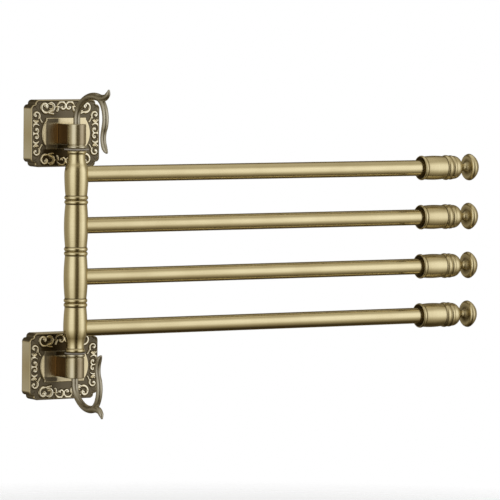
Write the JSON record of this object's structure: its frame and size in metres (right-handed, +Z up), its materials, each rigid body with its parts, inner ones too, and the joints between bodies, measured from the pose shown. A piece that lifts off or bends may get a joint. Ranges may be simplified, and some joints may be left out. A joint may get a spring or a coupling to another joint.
{
  "type": "swing arm towel bar",
  "caption": "Wall-mounted towel bar with straight tube arms that swivel on one column between two ornamented flanges, with turned finials and a double hook at each end.",
  "frame": {"origin": "on the wall plane, midway between the two flanges' centres, directly behind the column axis", "axes": "+Z up along the column; +Y into the wall; +X along the arms at rest"},
  "size_m": [0.4111, 0.0808, 0.2614],
  "materials": {
    "sleeve_brass": "antique brass, fine brushed, clear lacquer",
    "tube_brass": "antique brass, brushed along the tube",
    "finial_brass": "antique brass, turned and brushed",
    "post_brass": "antique brass, brushed",
    "hook_brass": "antique brass, greyer bronze tone",
    "flange_brass": "antique brass, dark grained field with rubbed relief",
    "plug_brass": "plain machined brass",
    "spindle_steel": "drawn stainless bar",
    "bracket_steel": "zinc-plated pressing",
    "screw_steel": "stainless",
    "bush_nylon": "natural nylon",
    "washer_nylon": "light grey nylon"
  },
  "bodies": {
    "wall_column": {"upper_wall_bracket": "bracket_steel", "upper_flange": "flange_brass", "upper_post": "post_brass", "upper_hook": "hook_brass", "lower_wall_bracket": "bracket_steel", "lower_flange": "flange_brass", "lower_post": "post_brass", "lower_hook": "hook_brass", "post_screws": "screw_steel", "set_screws": "screw_steel", "spindle": "spindle_steel", "upper_washer": "washer_nylon", "lower_washer": "washer_nylon"},
    "arm_1": {"arm_1_sleeve": "sleeve_brass", "arm_1_upper_bush": "bush_nylon", "arm_1_lower_bush": "bush_nylon", "arm_1_tube": "tube_brass", "arm_1_end_plug": "plug_brass", "arm_1_finial_cap": "finial_brass", "arm_1_finial_knob": "finial_brass"},
    "arm_2": {"arm_2_sleeve": "sleeve_brass", "arm_2_upper_bush": "bush_nylon", "arm_2_lower_bush": "bush_nylon", "arm_2_tube": "tube_brass", "arm_2_end_plug": "plug_brass", "arm_2_finial_cap": "finial_brass", "arm_2_finial_knob": "finial_brass"},
    "arm_3": {"arm_3_sleeve": "sleeve_brass", "arm_3_upper_bush": "bush_nylon", "arm_3_lower_bush": "bush_nylon", "arm_3_tube": "tube_brass", "arm_3_end_plug": "plug_brass", "arm_3_finial_cap": "finial_brass", "arm_3_finial_knob": "finial_brass"},
    "arm_4": {"arm_4_sleeve": "sleeve_brass", "arm_4_upper_bush": "bush_nylon", "arm_4_lower_bush": "bush_nylon", "arm_4_tube": "tube_brass", "arm_4_end_plug": "plug_brass", "arm_4_finial_cap": "finial_brass", "arm_4_finial_knob": "finial_brass"}
  },
  "joints": [
    {"name": "arm_1_swing", "type": "hinge", "parent": "wall_column", "child": "arm_1", "pos_m": [0, -0.0335, 0.0618], "axis": [0, 0, -1], "range_deg": [-3, 183]},
    {"name": "arm_2_swing", "type": "hinge", "parent": "wall_column", "child": "arm_2", "pos_m": [0, -0.0335, 0.0206], "axis": [0, 0, -1], "range_deg": [-3, 183]},
    {"name": "arm_3_swing", "type": "hinge", "parent": "wall_column", "child": "arm_3", "pos_m": [0, -0.0335, -0.0206], "axis": [0, 0, -1], "range_deg": [-3, 183]},
    {"name": "arm_4_swing", "type": "hinge", "parent": "wall_column", "child": "arm_4", "pos_m": [0, -0.0335, -0.0618], "axis": [0, 0, -1], "range_deg": [-3, 183]}
  ]
}
